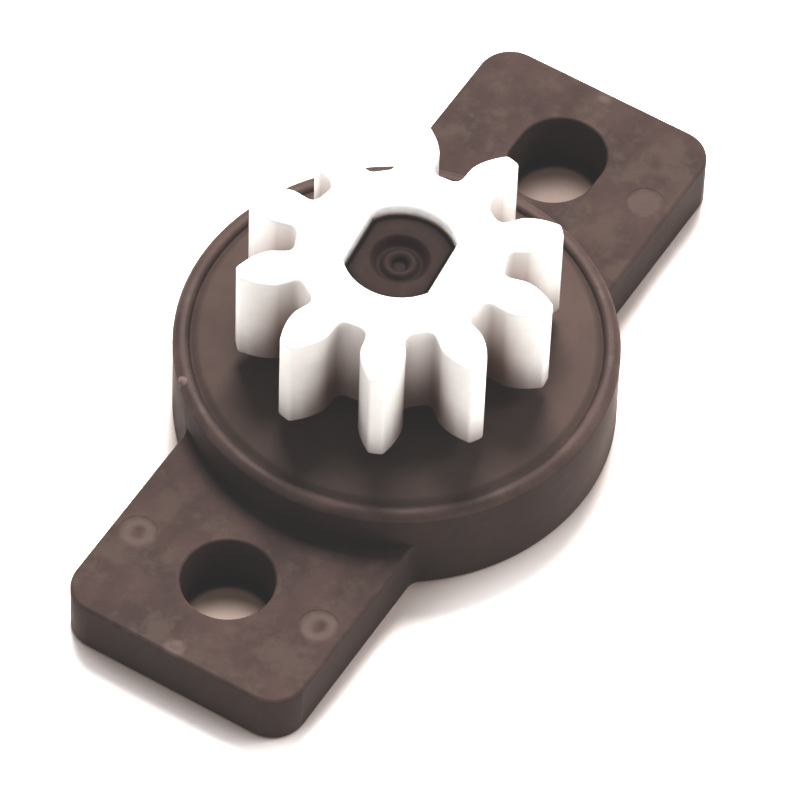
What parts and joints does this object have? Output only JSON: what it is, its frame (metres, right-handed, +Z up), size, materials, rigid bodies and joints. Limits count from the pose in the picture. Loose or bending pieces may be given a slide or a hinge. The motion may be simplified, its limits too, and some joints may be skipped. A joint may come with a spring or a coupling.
{
  "type": "rotary damper",
  "caption": "Small disc-type rotary damper: flat dark housing with screw ears, a welded cover and a white pinion on a double-D shaft slowed by silicone grease.",
  "frame": {"origin": "on the shaft's axis, on the underside of the housing", "axes": "+X along the mounting plate towards the slotted ear, +Z up the shaft towards the pinion"},
  "size_m": [0.0186, 0.01, 0.0055],
  "materials": {
    "housing_plastic": "fine matte moulded, dark brown-black",
    "cover_plastic": "fine matte moulded, dark brown-black",
    "rotor_plastic": "smooth moulded, dark brown-black",
    "seal_rubber": "smooth moulded rubber",
    "silicone_grease": "wet translucent film",
    "gear_plastic": "smooth natural white acetal"
  },
  "bodies": {
    "housing": {"housing": "housing_plastic", "cover": "cover_plastic", "shaft_seal": "seal_rubber", "damping_grease": "silicone_grease"},
    "rotor": {"rotor": "rotor_plastic", "drive_gear": "gear_plastic"}
  },
  "joints": [
    {"name": "rotor_spin", "type": "hinge", "parent": "housing", "child": "rotor", "pos_m": [0, 0, 0], "axis": [0, 0, 1], "continuous": true}
  ]
}
